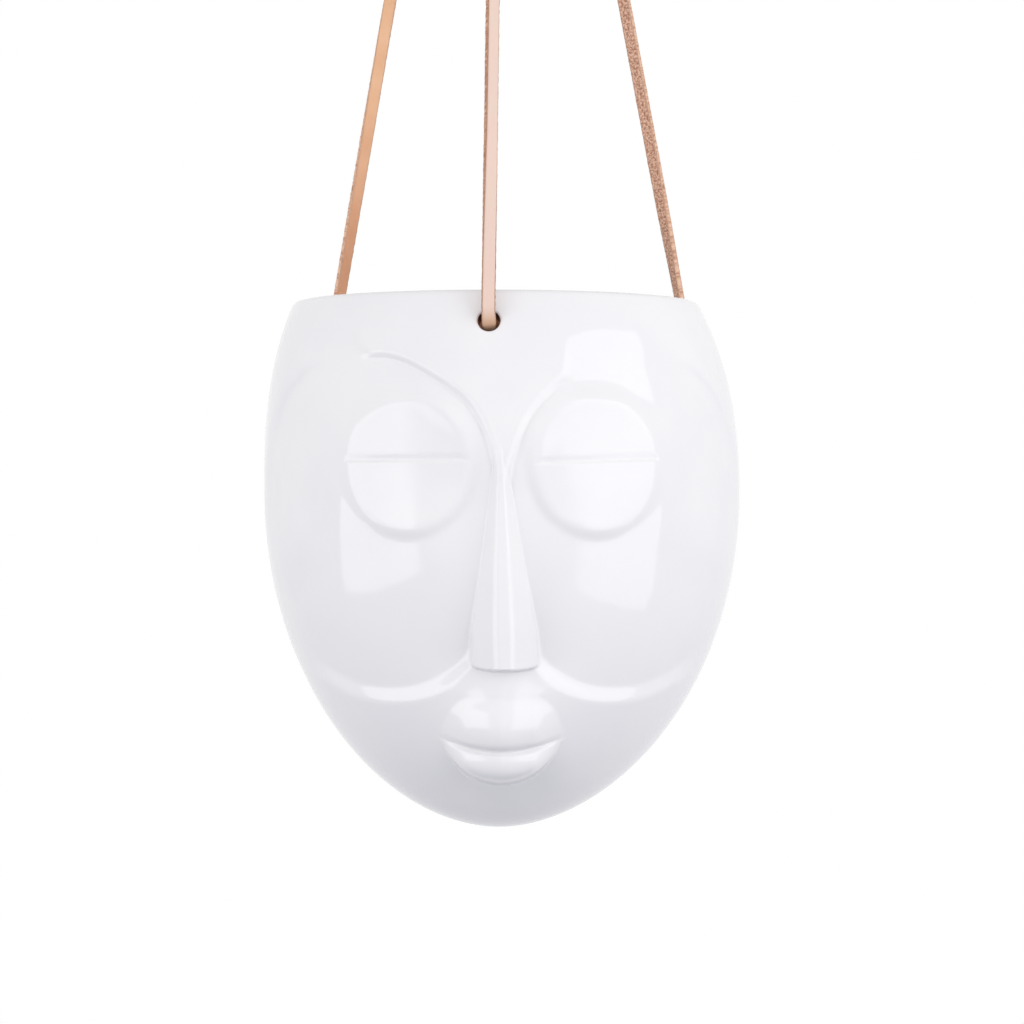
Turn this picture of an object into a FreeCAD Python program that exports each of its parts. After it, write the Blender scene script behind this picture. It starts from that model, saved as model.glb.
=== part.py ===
# Hanging planter: a glazed ceramic pot with a mask in relief on its front, hung by leather laces
# that are knotted inside the pot, gathered in one knot and looped through a steel ring.
#
# Frame: millimetres, +Z up, origin at the centre of the ring's eye. The mask looks along -Y,
# and left and right are as seen from in front of it. The pot's axis is the Z axis.
import FreeCAD, Part
import math
import os

from FreeCAD import Vector

# Pot: an egg of two halves that meet at its widest line, cut off level at the rim
POT_WIDTH = 166.0
WIDEST_ABOVE_BOTTOM = 117.0
RIM_ABOVE_WIDEST = 66.0
SHOULDER_HEIGHT = 112.0  # where the upper half would close, above the widest line
WALL = 7.0
RIM_ROUND = 2.8

# How full each half of the egg is: its radius shrinks by (1 - height share ** power) ** root
LOWER_POWER = 2.0
LOWER_ROOT = 0.53
UPPER_POWER = 2.4
UPPER_ROOT = 0.5
OUTLINE_POINTS = 16

# Mask: heights are measured from the widest line, offsets from the middle plane
HOLLOW_OFFSET = 38.4
HOLLOW_HEIGHT = -10.3
HOLLOW_HALF_WIDTH = 36.8
HOLLOW_HALF_HEIGHT = 55.5
HOLLOW_DEPTH = 4.2
EYE_OFFSET = 30.2
EYE_HEIGHT = 8.0
EYE_RADIUS = 22.3
EYE_CROWN = 6.0  # the lid's highest point above the hollow's floor
EYE_DOME_RADIUS = 60.0
EYE_ROOT = 2.5  # how far the lid is sunk into the wall
SLIT_RISE = 1.6  # of the line between the lids, above the eye's centre
SLIT_WIDTH = 1.6
SLIT_DEPTH = 1.2
NOSE_ROOT_HEIGHT = 13.0
NOSE_TIP_HEIGHT = -56.6
NOSE_ROOT_REACH = 0.6  # of the ridge, in front of the egg
NOSE_TIP_REACH = 10.0
NOSE_ROOT_HALF_WIDTH = 3.4
NOSE_TIP_HALF_WIDTH = 11.7
RIDGE_ROOT_HALF_WIDTH = 1.0
RIDGE_TIP_HALF_WIDTH = 3.3
NOSE_SINK = 1.2  # of the nose's flanks, into the hollow's floor
UPPER_LIP_HEIGHT = -77.5
UPPER_LIP_HALF_WIDTH = 21.0
UPPER_LIP_HALF_HEIGHT = 9.5
UPPER_LIP_REACH = 6.0  # in front of the egg
LOWER_LIP_HEIGHT = -91.0
LOWER_LIP_HALF_WIDTH = 18.5
LOWER_LIP_HALF_HEIGHT = 8.6
LOWER_LIP_REACH = 5.0
LIP_SINK = 6.0  # of a lip's middle, into the wall

# Lace holes: the pattern is turned a little from the mask's middle plane, as the holes are made by hand
HOLE_RADIUS = 3.7
HOLE_BELOW_RIM = 10.4
HOLE_TURN = 3.1  # degrees, towards the left
BACK_HOLE_ANGLE = 124.5  # degrees, each way round from the front hole

# Laces: flat leather, its width along the pot's wall
LACE_WIDTH = 4.5
LACE_THICKNESS = 2.2
LACE_DROP = 1.2  # of the lace in its hole, below the hole's axis
LACE_BEND = 2.4  # inner radius where the lace leaves its hole and turns up
BEND_GAP = 0.4  # between the wall and the start of that bend
LACE_RISE = 320.0  # from the rim to the gathering knot
GATHER_RADIUS = 3.3  # of the laces' middles at the gathering knot

# Knots: barrels with rounded ends
STOP_KNOT_RADIUS = 6.2
STOP_KNOT_LENGTH = 9.5
STOP_KNOT_GAP = 0.5  # to the pot's inner wall
GATHER_KNOT_RADIUS = 7.2
GATHER_KNOT_HEIGHT = 12.0
KNOT_ROUND = 2.0

# Ring, and the leather loop that hangs on its wire
RING_EYE_RADIUS = 11.0
RING_WIRE = 3.0
LOOP_GAP = 0.4  # all round the wire
LOOP_LEG = 9.0  # from the wire's middle to the gathering knot

# What follows from those
pot_radius = POT_WIDTH / 2
ring_radius = RING_EYE_RADIUS + RING_WIRE / 2
swing_height = -ring_radius
knot_top = swing_height - LOOP_LEG
knot_bottom = knot_top - GATHER_KNOT_HEIGHT
rim_height = knot_bottom - LACE_RISE
widest_height = rim_height - RIM_ABOVE_WIDEST
hole_height = RIM_ABOVE_WIDEST - HOLE_BELOW_RIM
reach_out = POT_WIDTH  # long enough to pass right out of the pot


def egg_radius(height, inset=0.0):
    """The egg's radius at a height above its widest line, with its wall taken in by inset."""
    full, power, root = SHOULDER_HEIGHT, UPPER_POWER, UPPER_ROOT
    if height < 0:
        full, power, root = WIDEST_ABOVE_BOTTOM, LOWER_POWER, LOWER_ROOT
    share = min(abs(height) / (full - inset), 1.0)
    return (pot_radius - inset) * (1 - share**power) ** root


def on_outline(height, inset=0.0):
    """The place on the egg's outline at a height: X is away from the axis."""
    return Vector(egg_radius(height, inset), 0, height)


def into_egg(height, inset=0.0):
    """The way into the egg, square to its outline at a height."""
    step = 0.01
    slope = (egg_radius(height + step, inset) - egg_radius(height - step, inset)) / (2 * step)
    return Vector(-1, 0, slope).normalize()


def front_of_egg(offset, height):
    """The place on the egg's front at an offset from the middle plane, from the pot's widest line."""
    radius = egg_radius(height)
    return Vector(offset, -math.sqrt(radius * radius - offset * offset), height)


def smooth_curve(points, start_way, end_way):
    """A curve through points that sets out and arrives in the given ways."""
    curve = Part.BSplineCurve()
    curve.interpolate(points, InitialTangent=start_way, FinalTangent=end_way)
    return curve.toShape()


def outline(top, inset=0.0):
    """The egg's outline from the axis at its bottom, past its widest line, up to a height."""
    turns = [math.pi / 2 * i / OUTLINE_POINTS for i in range(OUTLINE_POINTS, -1, -1)]
    heights = [(inset - WIDEST_ABOVE_BOTTOM) * math.sin(t) for t in turns]
    lower = [on_outline(h, inset) for h in heights]
    lower[0].x = 0
    upper = [on_outline(top * i / OUTLINE_POINTS, inset) for i in range(OUTLINE_POINTS + 1)]
    rising = into_egg(top, inset)
    return [
        smooth_curve(lower, Vector(pot_radius, 0, 0), Vector(0, 0, pot_radius)),
        smooth_curve(upper, Vector(0, 0, top), Vector(rising.z, 0, -rising.x) * top),
    ]


def revolved(edges):
    """The solid that an outline in the plane of X and Z sweeps round the Z axis."""
    return Part.Face(Part.Wire(Part.__sortEdges__(edges))).revolve(Vector(), Vector(0, 0, 1), 360)


def egg(inset=0.0):
    """The egg up to the plane of the rim, its wall taken in by inset."""
    edge = on_outline(RIM_ABOVE_WIDEST, inset)
    middle = Vector(0, 0, RIM_ABOVE_WIDEST)
    bottom = Vector(0, 0, inset - WIDEST_ABOVE_BOTTOM)
    lid = [Part.makeLine(edge, middle), Part.makeLine(middle, bottom)]
    return revolved(outline(RIM_ABOVE_WIDEST, inset) + lid)


def rim_round(inset, into_wall):
    """One rounded edge of the rim: where it leaves the wall, and its arc up to the rim's plane."""
    rim_width = egg_radius(RIM_ABOVE_WIDEST) - egg_radius(RIM_ABOVE_WIDEST, WALL)
    radius = min(RIM_ROUND, 0.45 * rim_width)
    low, high = 0.0, RIM_ABOVE_WIDEST
    for _ in range(60):  # halve the range until the arc just reaches the rim's plane
        height = (low + high) / 2
        centre = on_outline(height, inset) + into_egg(height, inset) * into_wall * radius
        low, high = (height, high) if centre.z + radius < RIM_ABOVE_WIDEST else (low, height)
    start = on_outline(height, inset)
    end = Vector(centre.x, 0, RIM_ABOVE_WIDEST)
    half_way = ((start - centre) + (end - centre)).normalize()
    return height, Part.Arc(start, centre + half_way * radius, end).toShape()


def pot_wall():
    """The plain pot: an even wall between two eggs, with a rounded rim."""
    outer_height, outer_arc = rim_round(0.0, 1)
    inner_height, inner_arc = rim_round(WALL, -1)
    flat = Part.makeLine(outer_arc.Vertexes[-1].Point, inner_arc.Vertexes[-1].Point)
    bottom = Vector(0, 0, -WIDEST_ABOVE_BOTTOM)
    through_wall = Part.makeLine(bottom, bottom + Vector(0, 0, WALL))
    outlines = outline(outer_height) + outline(inner_height, WALL)
    return revolved([*outlines, outer_arc, flat, inner_arc, through_wall])


def hollow(side):
    """The hollow of one cheek and eye: an oval, as deep as the egg is moved back in it."""
    middle = Vector(side * HOLLOW_OFFSET, 0, HOLLOW_HEIGHT)
    across = middle + Vector(HOLLOW_HALF_WIDTH, 0, 0)
    up = middle + Vector(0, 0, HOLLOW_HALF_HEIGHT)
    tall = HOLLOW_HALF_HEIGHT > HOLLOW_HALF_WIDTH
    oval = Part.Ellipse(up, across, middle) if tall else Part.Ellipse(across, up, middle)
    prism = Part.Face(Part.Wire(oval.toShape())).extrude(Vector(0, -reach_out, 0))
    floor = egg()
    floor.translate(Vector(0, HOLLOW_DEPTH, 0))
    return prism.cut(floor)


def eye_seat(side):
    """The middle of one eye on its hollow's floor, and the way that it looks."""
    seat = front_of_egg(side * EYE_OFFSET, EYE_HEIGHT)
    outward = Vector(seat.x, seat.y, 0).normalize()
    return seat + Vector(0, HOLLOW_DEPTH, 0), outward


def closed_eye(side):
    """One closed eye: a round, domed pair of lids with the line between them."""
    seat, outward = eye_seat(side)
    disc = Part.makeCylinder(EYE_RADIUS, EYE_ROOT + EYE_DOME_RADIUS, seat - outward * EYE_ROOT, outward)
    centre = seat + outward * (EYE_CROWN - EYE_DOME_RADIUS)
    lids = disc.common(Part.makeSphere(EYE_DOME_RADIUS, centre))
    slot = Part.makeBox(2 * EYE_RADIUS, EYE_DOME_RADIUS, SLIT_WIDTH)
    slot.translate(Vector(-EYE_RADIUS, -EYE_DOME_RADIUS, SLIT_RISE - SLIT_WIDTH / 2))
    slot.rotate(Vector(), Vector(0, 0, 1), math.degrees(math.atan2(outward.x, -outward.y)))
    slot.translate(centre)
    slot.translate(outward * (EYE_DOME_RADIUS / 2))
    return lids.cut(slot.cut(Part.makeSphere(EYE_DOME_RADIUS - SLIT_DEPTH, centre)))


def nose_section(height):
    """The nose cut level at one height: a flat ridge with a flank each side."""
    share = (NOSE_ROOT_HEIGHT - height) / (NOSE_ROOT_HEIGHT - NOSE_TIP_HEIGHT)
    root_front = front_of_egg(0, NOSE_ROOT_HEIGHT).y - NOSE_ROOT_REACH
    tip_front = front_of_egg(0, NOSE_TIP_HEIGHT).y - NOSE_TIP_REACH
    front = root_front + share * (tip_front - root_front)
    back = front_of_egg(0, height).y + HOLLOW_DEPTH + NOSE_SINK
    half_width = NOSE_ROOT_HALF_WIDTH + share * (NOSE_TIP_HALF_WIDTH - NOSE_ROOT_HALF_WIDTH)
    half_ridge = RIDGE_ROOT_HALF_WIDTH + share * (RIDGE_TIP_HALF_WIDTH - RIDGE_ROOT_HALF_WIDTH)
    corners = [(-half_width, back), (-half_ridge, front), (half_ridge, front), (half_width, back)]
    return Part.makePolygon([Vector(x, y, height) for x, y in [*corners, corners[0]]])


def nose():
    """The nose: a wedge that widens and stands out towards its level tip."""
    middle = (NOSE_ROOT_HEIGHT + NOSE_TIP_HEIGHT) / 2
    heights = (NOSE_ROOT_HEIGHT, middle, NOSE_TIP_HEIGHT)
    return Part.makeLoft([nose_section(h) for h in heights], True, True)


def lip(height, half_width, half_height, reach):
    """One lip: a swelling across the mask, its middle inside the egg's front."""
    stretch = FreeCAD.Matrix()
    stretch.scale(half_width, reach + LIP_SINK, half_height)
    swelling = Part.makeSphere(1).transformGeometry(stretch)
    swelling.translate(front_of_egg(0, height) + Vector(0, LIP_SINK, 0))
    return swelling


def hole_axis():
    """The hole's middle on the egg, and the way out along its axis, as seen in the plane of one lace.

    X is away from the pot's axis and Z is up. The axis is square to the wall.
    """
    return on_outline(hole_height), into_egg(hole_height) * -1


def wall_depth():
    """The wall's thickness along the hole's axis."""
    middle, outward = hole_axis()
    low, high = 0.0, 3 * WALL
    for _ in range(60):
        depth = (low + high) / 2
        point = middle - outward * depth
        low, high = (low, depth) if point.x < egg_radius(point.z, WALL) else (depth, high)
    return depth


def turned(solid, angle):
    """A solid made in the plane of one lace, turned to its place round the pot and lowered to it."""
    solid.rotate(Vector(), Vector(0, 0, 1), angle)
    solid.translate(Vector(0, 0, widest_height))
    return solid


lace_angles = {
    "front": -90 - HOLE_TURN,
    "left": -90 - HOLE_TURN - BACK_HOLE_ANGLE,
    "right": -90 - HOLE_TURN + BACK_HOLE_ANGLE,
}


def rounded_barrel(radius, length, start, axis):
    """A barrel from its start face along an axis, with rounded ends."""
    barrel = Part.makeCylinder(radius, length, start, axis)
    ends = [e for e in barrel.Edges if isinstance(e.Curve, Part.Circle)]
    return barrel.makeFillet(KNOT_ROUND, ends)


def mask_pot():
    """The pot: the plain pot with the mask in relief on its front and the lace holes."""
    body = pot_wall().cut([hollow(-1), hollow(1)])
    relief = nose().fuse([
        closed_eye(-1),
        closed_eye(1),
        lip(UPPER_LIP_HEIGHT, UPPER_LIP_HALF_WIDTH, UPPER_LIP_HALF_HEIGHT, UPPER_LIP_REACH),
        lip(LOWER_LIP_HEIGHT, LOWER_LIP_HALF_WIDTH, LOWER_LIP_HALF_HEIGHT, LOWER_LIP_REACH),
    ])
    body = body.fuse(relief.cut(egg(WALL)))
    middle, outward = hole_axis()
    for angle in lace_angles.values():
        hole = Part.makeCylinder(HOLE_RADIUS, 4 * WALL, middle - outward * 2 * WALL, outward)
        hole.rotate(Vector(), Vector(0, 0, 1), angle)
        body = body.cut(hole)
    body.translate(Vector(0, 0, widest_height))
    return body


def lace_line():
    """A lace's start at its stop knot, its corner outside the hole and its end at the gathering knot.

    In the plane of the lace, from the pot's widest line.
    """
    middle, outward = hole_axis()
    down = Vector(outward.z, 0, -outward.x)
    seat = middle + down * LACE_DROP
    start = seat - outward * (wall_depth() + STOP_KNOT_GAP)
    end = Vector(GATHER_RADIUS, 0, RIM_ABOVE_WIDEST + LACE_RISE)
    middle_radius = LACE_BEND + LACE_THICKNESS / 2
    lead = middle_radius
    for _ in range(20):  # the corner moves out until the bend starts BEND_GAP outside the wall
        corner = seat + outward * (BEND_GAP + lead)
        turn = outward.getAngle(end - corner)
        lead = middle_radius * math.tan(turn / 2)
    return start, corner, end


def lace_solid():
    """A lace in its own plane: straight through the hole, bent round its edge and straight up."""
    start, corner, end = lace_line()
    inwards = (corner - start).normalize()
    upwards = (end - corner).normalize()
    middle_radius = LACE_BEND + LACE_THICKNESS / 2
    lead = middle_radius * math.tan(inwards.getAngle(upwards) / 2)
    bend_start = corner - inwards * lead
    bend_centre = bend_start + Vector(-inwards.z, 0, inwards.x) * middle_radius
    bend_middle = (corner - bend_centre).normalize()

    def face_line(offset):
        """One face of the lace, offset from its middle away from the bend's centre."""
        away_before = Vector(inwards.z, 0, -inwards.x)
        away_after = Vector(upwards.z, 0, -upwards.x)
        top = end + away_after * offset
        top = top - upwards * ((top.z - end.z) / upwards.z)  # cut level at the knot
        return [
            start + away_before * offset,
            bend_start + away_before * offset,
            bend_centre + bend_middle * (middle_radius + offset),
            corner + upwards * lead + away_after * offset,
            top,
        ]

    outer = face_line(LACE_THICKNESS / 2)
    inner = face_line(-LACE_THICKNESS / 2)
    edges = [Part.makeLine(outer[4], inner[4]), Part.makeLine(inner[0], outer[0])]
    for line in (outer, inner):
        edges.append(Part.makeLine(line[0], line[1]))
        edges.append(Part.Arc(line[1], line[2], line[3]).toShape())
        edges.append(Part.makeLine(line[3], line[4]))
    side = Part.Face(Part.Wire(Part.__sortEdges__(edges)))
    side.translate(Vector(0, -LACE_WIDTH / 2, 0))
    return side.extrude(Vector(0, LACE_WIDTH, 0)), middle_radius


def stop_knot():
    """The knot inside the pot that stops a lace at its hole, in the plane of the lace."""
    start, corner, _ = lace_line()
    return rounded_barrel(STOP_KNOT_RADIUS, STOP_KNOT_LENGTH, start, start - corner)


def gathering_knot():
    """The knot that ties the laces together under the ring."""
    return rounded_barrel(GATHER_KNOT_RADIUS, GATHER_KNOT_HEIGHT, Vector(0, 0, knot_bottom), Vector(0, 0, 1))


def hanging_loop():
    """The leather loop from the gathering knot over the ring's wire and back."""
    inner = RING_WIRE / 2 + LOOP_GAP
    outer = inner + LACE_THICKNESS
    half_width = LACE_WIDTH / 2
    edges = []
    for radius in (inner, outer):
        left, right = Vector(-half_width, -radius, swing_height), Vector(-half_width, radius, swing_height)
        edges.append(Part.Arc(left, Vector(-half_width, 0, swing_height + radius), right).toShape())
        edges += [Part.makeLine(p, Vector(p.x, p.y, knot_top)) for p in (left, right)]
    for side in (-1, 1):
        feet = [Vector(-half_width, side * radius, knot_top) for radius in (inner, outer)]
        edges.append(Part.makeLine(*feet))
    face = Part.Face(Part.Wire(Part.__sortEdges__(edges)))
    return face.extrude(Vector(LACE_WIDTH, 0, 0))


def hanging_ring():
    """The steel ring, standing in the plane of the mask."""
    return Part.makeTorus(ring_radius, RING_WIRE / 2, Vector(), Vector(0, 1, 0))


def build():
    """Every piece by its node's name."""
    pieces = {
        "mask_pot": mask_pot(),
        "gathering_knot": gathering_knot(),
        "hanging_loop": hanging_loop(),
        "hanging_ring": hanging_ring(),
    }
    for name, angle in lace_angles.items():
        lace, bend = lace_solid()
        start, corner, end = lace_line()
        length = (corner - start).Length + (end - corner).Length
        print(f"{name}_lace: {length:.1f} mm along its corners, bend radius {bend:.1f} mm, "
              f"volume over section {lace.Volume / (LACE_WIDTH * LACE_THICKNESS):.1f} mm")
        pieces[f"{name}_lace"] = turned(lace, angle)
        pieces[f"{name}_stop_knot"] = turned(stop_knot(), angle)
    return pieces


os.makedirs("parts", exist_ok=True)
for node, shape in build().items():
    solids = shape.Solids
    print(f"{node}: {len(solids)} solid, valid {shape.isValid()}, {shape.Volume / 1000:.2f} cm3")
    (solids[0] if len(solids) == 1 else shape).exportStep(f"parts/{node}.step")
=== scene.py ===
import math

import bmesh
import bpy
import numpy as np
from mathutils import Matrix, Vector


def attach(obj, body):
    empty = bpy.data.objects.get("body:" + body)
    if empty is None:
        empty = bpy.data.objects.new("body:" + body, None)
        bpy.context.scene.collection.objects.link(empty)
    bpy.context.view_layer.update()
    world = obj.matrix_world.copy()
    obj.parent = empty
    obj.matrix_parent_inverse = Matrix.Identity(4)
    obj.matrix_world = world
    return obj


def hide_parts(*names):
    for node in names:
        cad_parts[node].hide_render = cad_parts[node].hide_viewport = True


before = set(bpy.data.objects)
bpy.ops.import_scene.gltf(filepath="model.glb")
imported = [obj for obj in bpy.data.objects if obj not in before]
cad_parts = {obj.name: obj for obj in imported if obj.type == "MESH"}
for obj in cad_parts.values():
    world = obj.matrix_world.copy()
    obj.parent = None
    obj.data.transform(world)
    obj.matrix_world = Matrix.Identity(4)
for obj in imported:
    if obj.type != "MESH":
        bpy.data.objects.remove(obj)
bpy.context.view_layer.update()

MM = 0.001
FULL_TURN = 2 * math.pi

# Pot, in millimetres. Heights are measured from its widest line, as in the part's source.
POT_RADIUS = 83.0
BOTTOM_DROP = 117.0
SHOULDER = 112.0
RIM = 66.0
WALL = 7.0
RIM_ROUND = 2.8
WIDEST_Z = -419.5
UPPER_POWER, UPPER_ROOT = 2.4, 0.5
LOWER_POWER, LOWER_ROOT = 2, 0.53
RIM_LEAN, BOTTOM_LEAN = 2.3, 1.1
BOTTOM_LEAN_START = 60  # below the widest line
HOLE_RADIUS = 3.7
HOLE_HEIGHT = 55.6
HOLE_EDGE = 0.8  # round of the hole's edges
HOLE_MARGIN = 0.45  # between that round and the wall's faces that stay
HOLE_COLUMNS = 44

# Degrees round from the middle of the mask, towards the right as seen from in front
LACE_TURNS = {"front": -3.1, "left": -127.6, "right": 121.4}

# Laces, in metres: away from the pot's axis, and height under the ring's eye
LACE_START = (0.068138, -0.367670)
LACE_CORNER = (0.078546, -0.363821)
LACE_END = (0.0033, -0.0335)
LACE_WIDTH = 0.0045
LACE_THICKNESS = 0.0022
LACE_SECTION_STEP = 0.0005


# Small sums that the shapes share


def smooth(low, high, value):
    """0 before low, 1 after high, and an even S between."""
    share = np.clip((value - low) / (high - low), 0, 1)
    return share * share * (3 - 2 * share)


def higher(a, b, soft):
    """The higher of two surfaces, with a fillet of the given size where they meet."""
    share = np.clip(0.5 + 0.5 * (a - b) / soft, 0, 1)
    return b + (a - b) * share + soft * share * (1 - share)


def ramp(value, soft):
    """0 to 1 in a straight slope with eased ends."""
    return -higher(-higher(value, 0, soft), -1, soft)


def eased(value, places, rises, spread):
    """A line through a few points with its corners rounded, as the mean of five readings."""
    return sum(np.interp(value + k * spread, places, rises) for k in (-2, -1, 0, 1, 2)) / 5


def graded(start, end, gap):
    """Places from start to end whose spacing follows gap."""
    fine = np.linspace(start, end, 6001)
    steps = np.diff(fine) / gap((fine[1:] + fine[:-1]) / 2)
    count = np.concatenate([[0], np.cumsum(steps)])
    return np.interp(np.linspace(0, count[-1], int(math.ceil(count[-1])) + 1), count, fine)


# The pot's shape


def egg_radius(height, inset=0.0):
    """The egg's radius at a height, with its wall taken in by inset."""
    height = np.asarray(height, dtype=float)
    upper = np.clip(height / (SHOULDER - inset), 0, 1)
    lower = np.clip(-height / (BOTTOM_DROP - inset), 0, 1)
    above, below = (1 - upper**UPPER_POWER) ** UPPER_ROOT, (1 - lower**LOWER_POWER) ** LOWER_ROOT
    return (POT_RADIUS - inset) * np.where(height > 0, above, below)


def sway(height):
    """How far the hand-made pot's rings stand off its axis: rim and bottom lean a little to the left."""
    height = np.asarray(height, dtype=float)
    rise = np.clip(height, 0, None) / RIM
    drop = np.clip((-height - BOTTOM_LEAN_START) / (BOTTOM_DROP - BOTTOM_LEAN_START), 0, 1)
    return -RIM_LEAN * rise**1.6 - BOTTOM_LEAN * drop**1.5


# Mask: places as seen from in front, the depths along the way that the mask looks
FACE_MIDDLE = 0.35
MASK_FADE = (72, 87)  # where it runs out into the pot's sides, in degrees round from its middle

# Hollows: middle and reach, the powers of their outline, then the steps and lines at their edge
HOLLOW_OFFSET, HOLLOW_HEIGHT = 38.6, -10.3
HOLLOW_INNER, HOLLOW_OUTER, HOLLOW_TALL = 38.1, 42.0, 55.0
LEFT_BROW_POWER, RIGHT_BROW_POWER, BROW_TOP_POWER = 2.25, 2.0, 1.75
FOLD_POWER, TEMPLE_POWER, JOWL_POWER = 2.35, 2.9, 2.1
LEFT_BROW_END, RIGHT_BROW_END = 0.05, -0.36  # as sines of the turn outwards from straight up
BROW_WIDTH, FOLD_WIDTH = 2.2, 1.8
BROW_DEPTH, CHEEK_DEEPER, NOSE_SIDE_DEPTH = 1.5, 1.3, 1.2
BROW_GROOVE, TEMPLE_GROOVE, BROW_BEAD = 0.38, 1.6, 0.12

# Eyes: place and size, the lids' rise and edge, and the line between them
EYE_OFFSET, EYE_HEIGHT, EYE_HALF_WIDTH, EYE_HALF_HEIGHT = 30.9, 7.8, 21.0, 22.2
EYE_RISE, EYE_CROWN, EYE_TILT = 2.3, -1.15, 0.6
EYE_FOOT_EDGE, EYE_TOP_WIDER = 3.4, 1.8
LEFT_SLIT, RIGHT_SLIT, RIGHT_SLIT_SLOPE = 10.2, 9.0, 0.042
SLIT_DEPTH = 0.7

# Nose: ridge and flank end at shares of its half width
NOSE_ROOT, NOSE_TIP, NOSE_FLARE = 13.0, -58.6, -46.0
NOSE_ROOT_HALF, NOSE_TIP_HALF = 1.7, 12.1
NOSE_ROOT_LEAN, NOSE_TIP_LEAN = -0.3, 1.1
NOSE_RIDGE_TIP, NOSE_RIDGE_ROOT, NOSE_FLANK = 0.18, 0.27, 0.86
NOSE_FRONT, NOSE_FALL, NOSE_ARCH = 82.9, 2.0, 4.0
FLANK_SLOPE, WING_SLOPE, TIP_SLOPE = 0.95, 3.0, 12

# Mouth
MOUTH_HALF, MOUTH_HEIGHT, MOUTH_BOW = 19.9, -86.0, 4.5
UPPER_LIP_TALL, LOWER_LIP_TALL = 16.5, 12.6
UPPER_LIP_RISE, LIP_CREASE = 5.0, 1.25
MUZZLE_SPREAD = 19


def nose_half_width(height):
    """Half the nose's width: it widens evenly from its root to its wings and then runs straight."""
    return np.interp(height, [NOSE_FLARE, NOSE_ROOT], [NOSE_TIP_HALF, NOSE_ROOT_HALF])


def nose_lean(height):
    """How far the nose's middle stands to the right."""
    return np.interp(height, [NOSE_TIP, NOSE_ROOT], [NOSE_TIP_LEAN, NOSE_ROOT_LEAN])


def hollow_share(out, up, above, top, side):
    """How far out in a hollow a place lies: 0 in its middle, 1 on its outline."""
    brow_power = np.where(side > 0, RIGHT_BROW_POWER, LEFT_BROW_POWER)
    brow_power = brow_power + (BROW_TOP_POWER - brow_power) * smooth(0.74, 1.02, above)
    inner = np.where(above > 0, brow_power, FOLD_POWER)
    outer = np.where(above > 0, TEMPLE_POWER, JOWL_POWER)
    power = np.where(out < 0, inner, outer)
    half = np.where(out < 0, HOLLOW_INNER, HOLLOW_OUTER - top)
    return ((np.abs(out) / half) ** power + (np.abs(up) / HOLLOW_TALL) ** power) ** (1 / power)


def hollow(across, height, side):
    """How far the mask is set back: a low step at the brow, a ledge at the cheek fold, soft at the temple.

    The right brow fades out sooner than the left one.
    """
    out, up = across - HOLLOW_OFFSET, height - HOLLOW_HEIGHT
    reach = np.hypot(out, up) + 1e-6
    aside, above = out / reach, up / reach
    top = smooth(-0.4, 0.4, above)
    share = hollow_share(out, up, above, top, side)
    beyond = reach * (1 - 1 / np.maximum(share, 1e-6))
    # Near the outline, at its outer end low and high, and where the brow's line has run out
    edge = smooth(0.35, 0.9, share)
    jowl = smooth(0.32, 0.75, aside)
    temple = smooth(0.34, 0.5, aside)
    brow_end = np.where(side > 0, RIGHT_BROW_END, LEFT_BROW_END)
    gap = smooth(brow_end, brow_end + 0.12, aside) * (1 - temple)
    brow_width = BROW_WIDTH + 2.5 * temple + 10.0 * gap + 6.0 * smooth(0.82, 0.97, aside)
    fold_width = FOLD_WIDTH + 3.2 * np.clip(-above, 0, 1) ** 2 + 8.0 * jowl
    width = fold_width + (brow_width - fold_width) * top
    depth = BROW_DEPTH + CHEEK_DEEPER * smooth(15, -42, height)
    depth = depth * (1 + (1.6 * smooth(0.4, 0.8, aside) * top - 0.5 * jowl * (1 - top)) * edge)
    bowl = smooth(0, 14, -beyond) * (1 - smooth(5, -25, height)) * (1 - smooth(22, 44, across))
    nose_side = NOSE_SIDE_DEPTH * np.exp(-((across - 10) / 8) ** 2)
    bowl = bowl + nose_side * smooth(22, -5, height) * smooth(-112, -98, height)
    bead = BROW_BEAD * np.exp(-((beyond - 1.9) / 0.8) ** 2)
    bead = bead * (1 - smooth(brow_end - 0.03, brow_end + 0.09, aside))
    groove = BROW_GROOVE * np.exp(-((beyond + 1.3) / 0.9) ** 2) * (1 - gap - temple)
    groove = groove + TEMPLE_GROOVE * np.exp(-(beyond / 2.6) ** 2) * temple
    step = 1 - ramp(beyond / width + 0.5 * top * (1 - gap), 0.2)
    return depth * step + bowl + (groove - bead) * top * edge


def closed_eye(across, height, side):
    """The rise of a round pair of lids over the hollow, higher at their foot, with the line between them."""
    out, up = (across - EYE_OFFSET) / EYE_HALF_WIDTH, (height - EYE_HEIGHT) / EYE_HALF_HEIGHT
    share = np.hypot(out, up)
    foot = np.clip(-up, 0, 1) ** 1.5 * (1 - 0.8 * smooth(0.0, 0.8, -out))
    lean = EYE_RISE * (0.62 + 0.32 * foot + 0.55 * np.clip(up, 0, 1) ** 2) - EYE_TILT * out
    edge = EYE_FOOT_EDGE + EYE_TOP_WIDER * smooth(-0.7, 0.6, up)
    reach = 0.5 - 0.45 * smooth(-0.1, 0.6, up)
    lids = lean * (1 - ramp((share - 1) * EYE_HALF_WIDTH / edge + reach, 0.35))
    lids = lids + EYE_CROWN * (1 - np.minimum(share, 1) ** 2)
    line = np.where(side < 0, LEFT_SLIT, RIGHT_SLIT + RIGHT_SLIT_SLOPE * (across - 10))
    below = line - height
    slit = SLIT_DEPTH * ramp((below + 2.0) / 2.2, 0.2) * (1 - smooth(0.2, 0.9, below))
    return lids - slit * smooth(8, 16, across) * (1 - smooth(0.94, 1.0, share))


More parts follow.
